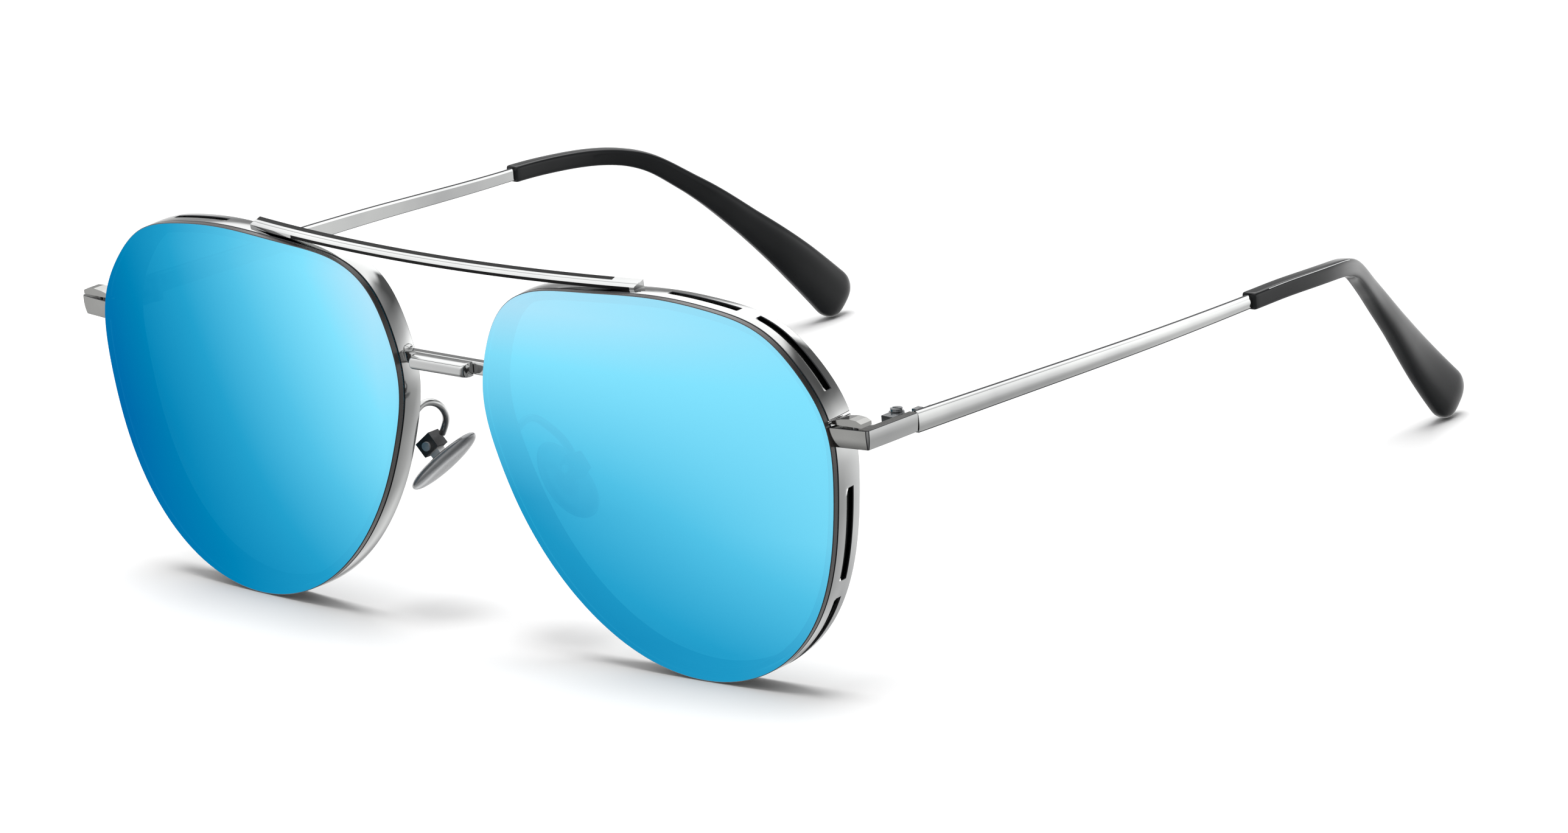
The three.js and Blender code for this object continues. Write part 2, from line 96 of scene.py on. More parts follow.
BAR_LINE = [(72.28, 14.3, 37.0), (72.65, 40.0, 36.1), (72.55, 62.0, 35.25), (71.2, 87.0, 34.25)]
BAR_THICKNESS = 1.3
BAR_HEIGHTS = [2.95, 1.82]
TIP_LINE = [
    (71.2, 87.0, 34.25), (71.0, 92.0, 34.1), (70.6, 98.0, 33.7), (69.7, 104.0, 33.1),
    (68.0, 109.3, 32.1), (66.2, 113.4, 30.4), (64.6, 117.2, 27.6), (62.9, 121.4, 24.1),
    (61.1, 127.1, 18.8), (59.5, 132.7, 13.3), (58.5, 138.1, 7.7), (58.09, 144.12, 1.41),
]
TIP_THICKNESS = [2.4, 2.2, 2.5, 3.0, 3.1]
TIP_HEIGHTS = [2.4, 2.45, 2.5, 3.1, 4.4, 6.3, 7.8]
TIP_ROUNDING = 3.6

PAD_CENTRE = (10.9, 10.1, 21.2)
PAD_DOWN = (0.738, -0.169, -0.653)
PAD_OUT = (0.655, -0.056, 0.754)
PAD_LENGTH = 13.0
PAD_WIDTH = 6.8
PAD_THICKNESS = 1.8
WIRE_RADIUS = 0.5
WIRE_LINE = [
    (9.35, 3.65, 30.0), (9.2, 5.4, 30.9), (8.95, 7.4, 30.5), (9.2, 9.2, 28.9),
    (10.35, 10.5, 26.75), (11.53, 10.8, 24.87),
]

# ---- Node helpers -----------------------------------------------------------------------

MARK_DEPTH = 0.02 * MM


def linear(rgb):
    """A colour given as 0 to 255 in sRGB, as linear light with alpha."""
    light = [
        c / 12.92 if c <= 0.04045 else ((c + 0.055) / 1.055) ** 2.4
        for c in (value / 255 for value in rgb)
    ]
    return (*light, 1.0)


def math_node(tree, operation, a, b, clamp=False):
    """A Math node; a and b are numbers or sockets."""
    node = tree.nodes.new("ShaderNodeMath")
    node.operation = operation
    node.use_clamp = clamp
    for socket, value in zip(node.inputs, (a, b)):
        if isinstance(value, (int, float)):
            socket.default_value = value
        else:
            tree.links.new(value, socket)
    return node.outputs[0]


def ramp_node(tree, factor, stops):
    """A colour ramp: stops are (place, colour), the colour a grey level or four numbers."""
    node = tree.nodes.new("ShaderNodeValToRGB")
    elements = node.color_ramp.elements
    while len(elements) < len(stops):
        elements.new(0.5)
    for element, (place, colour) in zip(elements, sorted(stops, key=lambda s: s[0])):
        element.position = place
        element.color = (colour,) * 3 + (1.0,) if isinstance(colour, (int, float)) else colour
    tree.links.new(factor, node.inputs[0])
    return node.outputs[0]


def mix_node(tree, factor, a, b, blend="MIX"):
    """A colour Mix node; the factor, a and b are values or sockets."""
    node = tree.nodes.new("ShaderNodeMix")
    node.data_type = "RGBA"
    node.blend_type = blend
    for name, value in (("Factor", factor), ("A", a), ("B", b)):
        wanted = "VALUE" if name == "Factor" else "RGBA"
        socket = next(s for s in node.inputs if s.name == name and s.type == wanted)
        if isinstance(value, (int, float, tuple)):
            socket.default_value = value
        else:
            tree.links.new(value, socket)
    return next(s for s in node.outputs if s.type == "RGBA")


def place_axis(tree, axis, low, high):
    """How far along one axis of the object's own space a point is, from 0 at low to 1 at high."""
    coordinates = tree.nodes.new("ShaderNodeTexCoord")
    split = tree.nodes.new("ShaderNodeSeparateXYZ")
    tree.links.new(coordinates.outputs["Object"], split.inputs[0])
    moved = math_node(tree, "SUBTRACT", split.outputs[axis], low)
    return math_node(tree, "DIVIDE", moved, high - low, clamp=True)


def noise_node(tree, scale, detail=3.0, stretch=(1.0, 1.0, 1.0)):
    """Noise in the object's own space, with scale lumps to the metre."""
    coordinates = tree.nodes.new("ShaderNodeTexCoord")
    mapping = tree.nodes.new("ShaderNodeMapping")
    mapping.inputs["Scale"].default_value = stretch
    noise = tree.nodes.new("ShaderNodeTexNoise")
    noise.inputs["Scale"].default_value = scale
    noise.inputs["Detail"].default_value = detail
    tree.links.new(coordinates.outputs["Object"], mapping.inputs["Vector"])
    tree.links.new(mapping.outputs["Vector"], noise.inputs["Vector"])
    return noise.outputs["Fac"]


def bump_node(tree, height, strength):
    """A normal with shallow marks from a height."""
    node = tree.nodes.new("ShaderNodeBump")
    node.inputs["Strength"].default_value = strength
    node.inputs["Distance"].default_value = MARK_DEPTH
    tree.links.new(height, node.inputs["Height"])
    return node.outputs["Normal"]


def new_material(name, **sockets):
    """A material with one Principled shader; the keywords set its plain values."""
    material = bpy.data.materials.new(name)
    material.use_nodes = True
    shader = material.node_tree.nodes["Principled BSDF"]
    for key, value in sockets.items():
        shader.inputs[key.replace("_", " ")].default_value = value
    return material, material.node_tree, shader


# ---- Materials --------------------------------------------------------------------------


def metal(name, dark, light, rough_low, rough_high, grain=900.0):
    """Plated metal: slow changes of tone, fine polishing marks, and a little uneven gloss."""
    material, tree, shader = new_material(name, Metallic=1.0)
    tone = ramp_node(tree, noise_node(tree, 60.0), [(0.35, linear(dark)), (0.65, linear(light))])
    tree.links.new(tone, shader.inputs["Base Color"])
    gloss = ramp_node(tree, noise_node(tree, grain, 4.0), [(0.3, rough_low), (0.7, rough_high)])
    tree.links.new(gloss, shader.inputs["Roughness"])
    marks = noise_node(tree, grain, 2.0, (1.0, 0.12, 1.0))
    tree.links.new(bump_node(tree, marks, 0.03), shader.inputs["Normal"])
    return material


# How bright the studio is where the lenses mirror it, and how much of the light the coating of
# the lens near the camera and of the far one lets through.
FRONT_LEVEL = 1.15
NEAR_OPEN = 0.12
FAR_OPEN = 0.05
EDGE_TINT = (0.45, 0.85, 1.0, 1.0)
# The lens's body from darkest to palest, and a white surface seen through it, as linear light.
GLASS_DARK = (0.001, 0.08, 0.11, 1.0)
GLASS_PALE = (0.002, 0.09, 0.12, 1.0)
THROUGH = (0.03, 0.28, 0.33)
DARKEST = 0.0005
# The coating's colours in sRGB, from deep blue to pale sky: the coating's own blue, with the
# studio's reflection painted over it as a gradient.
COATING_AND_REFLECTION = [
    (0.0, (0, 105, 170)), (0.15, (5, 130, 182)), (0.35, (35, 160, 205)),
    (0.55, (80, 192, 230)), (0.8, (130, 226, 254)), (1.0, (185, 232, 252)),
]
# Where that scale is set on a lens, and the middle's share of the height.
LENS_INNER = 11.6 * MM
LENS_OUTER = 65.6 * MM
LENS_FOOT = 4.5 * MM
LENS_TOP = 49.5 * MM
LENS_MIDDLE = 0.4
# How far up the scale the low-X and high-X sides of each lens are, at foot, middle and top: a
# painted reflection gradient, set apart for each lens.
NEAR_REFLECTION_LEVELS = ((0.2, 0.36, 0.96), (0.43, 0.7, 0.83))
FAR_REFLECTION_LEVELS = ((0.0, 0.0, 0.12), (0.47, 0.73, 1.0))


def mirror_base(rgb, openness):
    """What the coating reflects, so that with the light through the lens the colour is rgb."""
    share = FRONT_LEVEL * (1 - openness)
    light = [max(DARKEST, min(1.0, (c - openness * t) / share))
             for c, t in zip(linear(rgb), THROUGH)]
    return (*light, 1.0)


def mirror_lens(name, low_x, high_x, levels, openness):
    """Half-open mirror coating, which runs from deep blue to pale sky across the lens: its own
    blue, with a painted reflection gradient.
    """
    material, tree, shader = new_material(name, Metallic=1.0, Alpha=1 - openness,
                                          Specular_Tint=EDGE_TINT)
    height = place_axis(tree, "Z", LENS_FOOT, LENS_TOP)
    sides = [ramp_node(tree, height, list(zip((0.0, LENS_MIDDLE, 1.0), side)))
             for side in levels]
    level = mix_node(tree, place_axis(tree, "X", low_x, high_x), *sides)
    stops = [(place, mirror_base(rgb, openness)) for place, rgb in COATING_AND_REFLECTION]
    tree.links.new(ramp_node(tree, level, stops), shader.inputs["Base Color"])
    gloss = ramp_node(tree, noise_node(tree, 300.0), [(0.3, 0.03), (0.7, 0.05)])
    tree.links.new(gloss, shader.inputs["Roughness"])
    return material


def gloss_plastic(name, dark, light, rough_low, rough_high, coat=0.0, shine=0.5):
    """Smooth plastic or lacquer: faint clouds of tone and gloss, and shallow waves."""
    material, tree, shader = new_material(name, Coat_Weight=coat, Coat_Roughness=0.05,
                                          Specular_IOR_Level=shine)
    tone = ramp_node(tree, noise_node(tree, 90.0, 2.0),
                     [(0.3, linear(dark)), (0.7, linear(light))])
    tree.links.new(tone, shader.inputs["Base Color"])
    gloss = ramp_node(tree, noise_node(tree, 120.0, 2.0), [(0.3, rough_low), (0.7, rough_high)])
    tree.links.new(gloss, shader.inputs["Roughness"])
    marks = noise_node(tree, 260.0, 2.0)
    tree.links.new(bump_node(tree, marks, 0.04), shader.inputs["Normal"])
    return material


def lens_glass():
    """The tinted body of the lens, seen where the coating lets light through."""
    material, tree, shader = new_material("lens_glass", IOR=1.05, Roughness=0.0)
    shader.inputs["Transmission Weight"].default_value = 1.0
    shader.inputs["Specular IOR Level"].default_value = 0.1
    tone = ramp_node(tree, noise_node(tree, 40.0), [(0.3, GLASS_DARK), (0.7, GLASS_PALE)])
    tree.links.new(tone, shader.inputs["Base Color"])
    return material


silver = metal("silver_plating", (171, 172, 172), (185, 186, 185), 0.07, 0.12)
# A darker copy of the silver that paints shade on the end pieces' fronts and on the rim locks.
shaded_silver = metal("silver_painted_shade", (132, 132, 130), (146, 146, 144), 0.1, 0.16)
# A pale silver that paints a highlight on the lips along the slots' front edges.
bright = metal("silver_painted_lip_highlight", (225, 225, 224), (238, 238, 237), 0.1, 0.16)
# A dark silver that paints dark reflections along edges: painted shade lines on bevels and chosen
# faces.
painted_dark_edge = metal("silver_painted_dark_edge", (46, 47, 49), (60, 61, 63), 0.15, 0.25)
steel = metal("hinge_steel", (140, 142, 145), (170, 172, 174), 0.16, 0.26, 1600.0)
dark_steel = metal("pad_box_steel", (82, 82, 83), (104, 104, 105), 0.55, 0.65, 1600.0)
screw_steel = metal("pad_screw_steel", (226, 226, 226), (240, 240, 240), 0.5, 0.6, 1600.0)
# Black lacquer: the inner rims' own colour; on the brow bar it paints shade on the front face and
# in the grooves.
lacquer = gloss_plastic("black_lacquer", (3, 3, 3), (8, 8, 8), 0.3, 0.4, shine=0.1)
acetate = gloss_plastic("black_acetate", (25, 26, 27), (32, 33, 34), 0.1, 0.16, 0.05, 0.15)
# A pale plastic that paints a highlight along the tips' upper outer edge.
painted_crease_highlight = gloss_plastic("acetate_painted_highlight", (205, 207, 208), (225, 226, 227), 0.1, 0.2)
lens_edge = gloss_plastic("lens_edge", (30, 28, 27), (48, 44, 43), 0.15, 0.3)
glass = lens_glass()

near_mirror_and_reflection = mirror_lens("lens_mirror_left_painted_reflection", LENS_INNER, LENS_OUTER, NEAR_REFLECTION_LEVELS, NEAR_OPEN)
far_mirror_and_reflection = mirror_lens("lens_mirror_right_painted_reflection", -LENS_OUTER, -LENS_INNER, FAR_REFLECTION_LEVELS, FAR_OPEN)

PAD_PALE_Z = 16 * MM
PAD_DARK_Z = 26 * MM


def silicone_material():
    """Silver-grey soft plastic, a little lighter towards the lower end of the pad."""
    material, tree, shader = new_material("pad_silicone", Metallic=0.55, Coat_Weight=0.6,
                                          Coat_Roughness=0.08)
    tone = ramp_node(tree, place_axis(tree, "Z", PAD_PALE_Z, PAD_DARK_Z),
                     [(0.0, linear((176, 178, 180))), (1.0, linear((112, 114, 116)))])
    cloud = ramp_node(tree, noise_node(tree, 250.0), [(0.3, 0.88), (0.7, 1.0)])
    tree.links.new(mix_node(tree, 1.0, tone, cloud, "MULTIPLY"), shader.inputs["Base Color"])
    gloss = ramp_node(tree, noise_node(tree, 300.0), [(0.3, 0.2), (0.7, 0.3)])
    tree.links.new(gloss, shader.inputs["Roughness"])
    return material


silicone = silicone_material()

# ---- Mesh helpers -----------------------------------------------------------------------


def unit(vector):
    """The vector, or each row of vectors, at length 1."""
    vector = np.asarray(vector, float)
    return vector / np.linalg.norm(vector, axis=-1, keepdims=True)


def make_piece(name, points, faces, body, slot, materials, nodes=(), bevel=0.0, segments=3,
               indices=None, sharp=32.0, crisp=None):
    """A closed piece from points in millimetres, smooth except where its faces meet sharply.
    Edges sharper than sharp degrees are bevelled, and those over crisp degrees not smoothed.
    The bevels take the last material; on the silver pieces that is a dark silver, which paints
    dark reflections along the edges."""
    mesh = bpy.data.meshes.new(name)
    mesh.from_pydata(((np.asarray(points, float) + SHIFT) * MM).tolist(), [], faces)
    for material in materials:
        mesh.materials.append(material)
    if indices is not None:
        mesh.polygons.foreach_set("material_index", indices)
    work = bmesh.new()
    work.from_mesh(mesh)
    bmesh.ops.recalc_face_normals(work, faces=work.faces)
    work.to_mesh(mesh)
    work.free()
    mesh.shade_smooth()
    mesh.set_sharp_from_angle(angle=math.radians(crisp or sharp))
    piece = bpy.data.objects.new(name, mesh)
    bpy.context.scene.collection.objects.link(piece)
    if bevel:
        soften(piece, bevel, segments, sharp, len(materials) - 1)
    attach(piece, body)
    if nodes:
        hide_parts(*nodes)
    return piece


def soften(piece, width, segments=3, sharp=32.0, material=-1):
    """Rounds the sharp edges of a piece by a width in millimetres."""
    bevel = piece.modifiers.new("soft_edges", "BEVEL")
    bevel.width = width * MM
    bevel.segments = segments
    bevel.limit_method = "ANGLE"
    bevel.angle_limit = math.radians(sharp)
    bevel.harden_normals = True
    bevel.use_clamp_overlap = True
    bevel.material = material


def make_pair(name, points, faces, bodies, slot, materials, **options):
    """The piece on the wearer's left and its mirror image on the right, for its CAD nodes.
    Points and materials may differ between the sides, and are then given by side."""
    for side, sign, body in (("left", 1, bodies[0]), ("right", -1, bodies[1])):
        here = points[side] if isinstance(points, dict) else points
        flipped = np.asarray(here, float) * np.array([sign, 1.0, 1.0])
        own = materials[side] if isinstance(materials, dict) else materials
        make_piece(f"{name}_{side}_fine", flipped, faces, body, slot, own,
                   nodes=(f"{name}_{side}",), **options)


def smooth_line(knots, closed=False):
    """A curve with even bending through the knots; it gives the point at 0 to 1 of its length."""
    knots = np.asarray(knots, float)
    if closed:
        knots = np.vstack([knots, knots[:1]])
    steps = np.linalg.norm(np.diff(knots, axis=0), axis=1)
    slopes = np.diff(knots, axis=0) / steps[:, None]
    count = len(knots)
    matrix = np.zeros((count, count))
    wanted = np.zeros_like(knots)
    for i in range(1, count - 1):
        matrix[i, i - 1:i + 2] = steps[i - 1], 2 * (steps[i - 1] + steps[i]), steps[i]
        wanted[i] = 6 * (slopes[i] - slopes[i - 1])
    if closed:
        matrix[0, 0], matrix[0, -1] = 1, -1
        matrix[-1, -2], matrix[-1, 1] = steps[-1], steps[0]
        matrix[-1, -1] = 2 * (steps[-1] + steps[0])
        wanted[-1] = 6 * (slopes[0] - slopes[-1])
    else:
        matrix[0, 0] = matrix[-1, -1] = 1
    bend = np.linalg.solve(matrix, wanted)
    places = np.concatenate([[0], np.cumsum(steps)])

    def at_place(q):
        k = np.clip(np.searchsorted(places, q, side="right") - 1, 0, count - 2)
        h = steps[k][:, None]
        a = (places[k + 1] - q)[:, None] / h
        b = 1 - a
        curve = ((a ** 3 - a) * bend[k] + (b ** 3 - b) * bend[k + 1]) * h * h / 6
        return a * knots[k] + b * knots[k + 1] + curve

    fine = np.linspace(0, places[-1], 4001)
    lengths = np.linalg.norm(np.diff(at_place(fine), axis=0), axis=1)
    total = np.concatenate([[0], np.cumsum(lengths)])

    def at(share):
        return at_place(np.interp(np.atleast_1d(share) * total[-1], total, fine))

    at.length = total[-1]
    return at


def tangents(line, shares):
    """Directions along a line at shares of its length."""
    step = 1e-4
    ahead = line(np.clip(shares + step, 0, 1))
    behind = line(np.clip(shares - step, 0, 1))
    return unit(ahead - behind)


def through(knots, share):
    """A value that runs straight through evenly spaced knots, at a share from 0 to 1."""
    return np.interp(share, np.linspace(0, 1, len(knots)), knots)


def tube_faces(rows, around, caps=True):
    """Faces of a body whose rings of points follow one another."""
    faces = []
    for i in range(rows - 1):
        for j in range(around):
            k = (j + 1) % around
            faces.append((i * around + j, i * around + k,
                          (i + 1) * around + k, (i + 1) * around + j))
    if caps:
        faces.append(tuple(range(around)))
        faces.append(tuple((rows - 1) * around + j for j in range(around)))
    return faces


def sweep(centres, sides, ups, sections):
    """Rings of points: each section's (side, up) places set out at its centre."""
    rings = []
    for centre, side, up, section in zip(centres, sides, ups, sections):
        section = np.asarray(section, float)
        rings.append(centre + section[:, :1] * side + section[:, 1:] * up)
    return np.concatenate(rings), tube_faces(len(rings), len(sections[0]))


def upright_sides(directions):
    """A level side and the up that goes with it, for each direction of a line."""
    side = unit(np.cross(directions, (0.0, 0.0, 1.0)))
    return side, unit(np.cross(side, directions))


# ---- Lens plane -------------------------------------------------------------------------

# The outline as a sum of waves, the shortest of them faded out, so that it bends smoothly.
OUTLINE_SAMPLES = 1024
OUTLINE_WAVES = 16
OUTLINE_FADE = 0.25
outline_shares = np.arange(OUTLINE_SAMPLES) / OUTLINE_SAMPLES
outline_fine = smooth_line(LENS_OUTLINE, closed=True)(outline_shares)
outline_terms = np.fft.fft(outline_fine[:, 0] + 1j * outline_fine[:, 1]) / OUTLINE_SAMPLES
outline_waves = np.fft.fftfreq(OUTLINE_SAMPLES, 1 / OUTLINE_SAMPLES)
kept = np.abs(outline_waves) <= OUTLINE_WAVES
outline_waves = outline_waves[kept]
fades = np.cos(outline_waves / OUTLINE_WAVES * math.pi / 2) ** OUTLINE_FADE
outline_terms = outline_terms[kept] * fades


def outline(shares, offset=0.0):
    """Points round the lens edge, moved outwards by one offset or by one for each point."""
    turns = np.exp(2j * math.pi * np.outer(np.atleast_1d(shares), outline_waves))
    points = turns @ outline_terms
    ahead = turns @ (outline_terms * outline_waves * 1j)
    ahead /= np.abs(ahead)
    moved = points - 1j * ahead * offset
    return np.stack([moved.real, moved.imag], -1)


outline_steps = np.diff(outline(np.linspace(0, 1, 721)), axis=0)
OUTLINE_LENGTH = float(np.sum(np.linalg.norm(outline_steps, axis=1)))
ANGLE_STEPS = 7200


def outline_at(degrees):
    """The share of the outline that lies at an angle seen from the lens centre."""
    shares = np.arange(ANGLE_STEPS) / ANGLE_STEPS
    points = outline(shares)
    angles = np.arctan2(points[:, 1], points[:, 0])
    return float(shares[np.argmax(np.cos(angles - math.radians(degrees)))])


def sagitta(flat):
    """How far the lens's sphere has curved back at a point of the lens plane."""
    return (flat ** 2).sum(-1) / (2 * BASE_RADIUS)


def from_lens_plane(flat, depth):
    """From the lens's own plane to the model; depth is how far behind the plane."""
    u, v = flat[..., 0], flat[..., 1]
    y = depth * math.cos(TILT) - v * math.sin(TILT)
    z = v * math.cos(TILT) + depth * math.sin(TILT)
    return np.stack([
        LENS_X + u * math.cos(WRAP) - y * math.sin(WRAP),
        u * math.sin(WRAP) + y * math.cos(WRAP),
        LENS_Z + z,
    ], -1)


# ---- Lenses -----------------------------------------------------------------------------

LENS_STEPS = 360
LENS_RINGS = 14
LENS_BEVEL = 0.1


def lens():
    """The lens's points and faces, with 0 for its front, 1 for its edge and 2 for its back."""
    shares = np.arange(LENS_STEPS) / LENS_STEPS
    face = outline(shares, -LENS_BEVEL)
    edge = outline(shares)
    rings = [(face * (i / LENS_RINGS), 0.0) for i in range(1, LENS_RINGS + 1)]
    rings += [(edge, LENS_BEVEL), (edge, LENS_THICKNESS - LENS_BEVEL)]
    rings += [(face * (i / LENS_RINGS), LENS_THICKNESS) for i in range(LENS_RINGS, 0, -1)]
    points = [from_lens_plane(flat, sagitta(flat) + depth) for flat, depth in rings]
    middle = np.zeros((1, 2))
    points = [from_lens_plane(middle, np.zeros(1))] + points
    points.append(from_lens_plane(middle, np.full(1, LENS_THICKNESS)))
    count = len(rings)
    faces = [tuple(1 + i for i in face) for face in tube_faces(count, LENS_STEPS, caps=False)]
    indices = []
    for row in range(count - 1):
        edge_row = LENS_RINGS - 1 <= row < LENS_RINGS + 2
        indices += [1 if edge_row else 0 if row < LENS_RINGS else 2] * LENS_STEPS
    last = 1 + count * LENS_STEPS
    for j in range(LENS_STEPS):
        k = (j + 1) % LENS_STEPS
        faces.append((0, 1 + j, 1 + k))
        faces.append((last, last - LENS_STEPS + k, last - LENS_STEPS + j))
    indices += [0, 2] * LENS_STEPS
    return np.concatenate(points), faces, indices


lens_points, lens_faces, lens_indices = lens()
make_pair("lens", lens_points, lens_faces, FRAME, "lens_mirror",
          {"left": [near_mirror_and_reflection, lens_edge, glass], "right": [far_mirror_and_reflection, lens_edge, glass]},
          indices=lens_indices)

# ---- Rims -------------------------------------------------------------------------------

RIM_STEPS = 360
RIM_ROWS = [0.0, 0.1, 0.2, 0.27, 0.34, SLOT_LOW, 0.51, 0.58, SLOT_HIGH, 0.74, 0.87, 1.0]
SLOT_LIP = 0.2
# How much deeper the rims are at the sides, and how near an even place may be to a given one.
SIDE_DEPTH = 0.6
STATION_GAP = 0.3 / RIM_STEPS
CARRIER_CROWN = 0.05


def rim_stations(places):
    """Even places round the outline, with the given ones put in exactly."""
    even = np.arange(RIM_STEPS) / RIM_STEPS
    near = np.array([min(abs((e - p + 0.5) % 1 - 0.5) for p in places) for e in even])
    return np.sort(np.concatenate([even[near > STATION_GAP], np.array(places) % 1]))


def rim(outside, wall, depth, crown, slot_angles):
    """A band round the lens, open at the lock and with slots: its points, its faces, and which
    of the faces are the lips along the slots' front edges."""
    slit = outline_at(LOCK_ANGLE)
    half = LOCK_SLIT / 2 / OUTLINE_LENGTH
    slots = [(outline_at(b), outline_at(a)) for a, b in slot_angles]
    stations = rim_stations([slit - half, slit + half] + [p for pair in slots for p in pair])
    count = len(stations)
    rows = len(RIM_ROWS)
    layers = []

    def within(middle, low, high):
        return 0 < (middle - low) % 1 < (high - low) % 1 - 1e-9

    in_slot = np.array([any(within(m, *pair) for pair in slots) for m in stations])
    for inner in (False, True):
        for row in RIM_ROWS:
            offset = outside - (wall if inner else crown * (2 * row - 1) ** 2)
            if row == SLOT_LOW and not inner:
                offset = offset - SLOT_LIP * in_slot
            flat = outline(stations, offset)
            level_share = np.abs(flat[:, 0]) / np.hypot(flat[:, 0], flat[:, 1])
            span = depth + BAND_DEPTH_SLOPE * flat[:, 0] + SIDE_DEPTH * level_share ** 2
            layers.append(from_lens_plane(flat, BAND_FRONT + row * span + sagitta(flat)))
    points = np.concatenate(layers)

    def corner(station, row, inner):
        return (row + rows * inner) * count + station % count

    low, high = RIM_ROWS.index(SLOT_LOW), RIM_ROWS.index(SLOT_HIGH)
    following = np.append(stations[1:], stations[0] + 1)
    middles = (stations + following) / 2
    open_gap = [within(m, slit - half, slit + half) for m in middles]
    slot_gap = [any(within(m, *pair) for pair in slots) for m in middles]
    faces = []
    lips = []
    for i in range(count):
        j = i + 1
        for gap, first, last in ((open_gap, 0, rows - 1), (slot_gap, low, high)):
            if gap[i] != gap[i - 1]:
                for k in range(first, last):
                    faces.append((corner(i, k, 0), corner(i, k + 1, 0),
                                  corner(i, k + 1, 1), corner(i, k, 1)))
        if open_gap[i]:
            continue
        for k in range(rows - 1):
            if slot_gap[i] and low <= k < high:
                continue
            for inner in (0, 1):
                if slot_gap[i] and k == low - 1 and not inner:
                    lips.append(len(faces))
                faces.append((corner(i, k, inner), corner(j, k, inner),
                              corner(j, k + 1, inner), corner(i, k + 1, inner)))
        ends = [0, rows - 1] + ([low, high] if slot_gap[i] else [])
        for k in ends:
            faces.append((corner(i, k, 0), corner(j, k, 0), corner(j, k, 1), corner(i, k, 1)))
    return points, faces, lips


band_points, band_faces, band_lips = rim(
    BAND_OUTSIDE, BAND_WALL, BAND_DEPTH, BAND_CROWN, SLOT_ANGLES)
# The lips along the slots take the pale silver: a painted highlight along their front edges.
band_indices = [0] * len(band_faces)
for lip in band_lips:
    band_indices[lip] = 1
# The band's bevels take the dark silver: painted dark reflection lines along its edges.
make_pair("rim_band", band_points, band_faces, FRAME, "silver_plating",
          [silver, bright, painted_dark_edge], indices=band_indices, bevel=0.11, sharp=50.0, crisp=18.0)
inner_points, inner_faces, _ = rim(
    CARRIER_OUTSIDE, CARRIER_WALL, CARRIER_DEPTH, CARRIER_CROWN, [])
make_pair("inner_rim", inner_points, inner_faces, FRAME, "black_lacquer", [lacquer],
          bevel=0.1, segments=2, sharp=40.0)

# ---- Brow bar ---------------------------------------------------------------------------

BROW_STEPS = 96
# Across the bar, from the front lower edge over the top face with its two grooves.
BROW_SECTION = [
    (0.0, -0.5), (0.0, -0.06), (0.1, 0.03), (0.62, 0.22), (0.65, 0.15), (0.73, 0.18),
    (0.76, 0.27), (0.95, 0.35), (1.12, 0.41), (1.14, 0.3), (1.9, 0.57), (1.96, 0.6),
    (2.05, -0.45), (1.98, -0.5),
]
# Which faces across the section are painted black (1) or dark (2) as painted shade and dark
# reflections, on the front face and in the grooves, and along which part of the bar.
BROW_PAINTED_SHADE = {0: (1, -0.76, 0.97), 4: (2, -0.97, 0.97), 8: (1, -1.0, 0.87),
             9: (1, -1.0, 0.87), 10: (1, -1.0, 0.87)}


def brow_bar():
    """The bar over both rims, bowed back and up towards its ends."""
    along = np.linspace(-1, 1, BROW_STEPS + 1)
    centres = np.stack([
        along * BROW_HALF, BROW_Y + BROW_BOW * along ** 2, BROW_Z + BROW_RISE * along ** 2], -1)
    back = np.tile((0.0, 1.0, 0.0), (len(along), 1))
    up = np.tile((0.0, 0.0, 1.0), (len(along), 1))
    return sweep(centres, back, up, [BROW_SECTION] * len(along))


brow_points, brow_faces = brow_bar()
brow_indices = []
for step in range(BROW_STEPS):
    place = 2 * (step + 0.5) / BROW_STEPS - 1
    for row in range(len(BROW_SECTION)):
        index, first, last = BROW_PAINTED_SHADE.get(row, (0, 0, 0))
        brow_indices.append(index if first < place < last else 0)
brow_indices += [0] * (len(brow_faces) - len(brow_indices))
# The black and dark faces along the bar are painted shade and dark reflections.
make_piece("brow_bar_fine", brow_points, brow_faces, "frame", "silver_plating",
           [silver, lacquer, painted_dark_edge], nodes=("brow_bar",), indices=brow_indices)

# ---- Bridge -----------------------------------------------------------------------------

FACE_FORWARD = 0.8
FACE_END = 0.45
FACE_END_STEPS = 9
FACE_END_DEPTH = 0.7
FACE_SINK = 0.3
# How squarely the front bar's section bulges, forwards and up: 1 would be a half ellipse.
FACE_BULGE = (0.6, 0.8)
FACE_CORNERS = 25
BACK_BAR_HALF = 8.1
BACK_BAR_BELOW = 0.95
BACK_BAR_ABOVE = 0.9


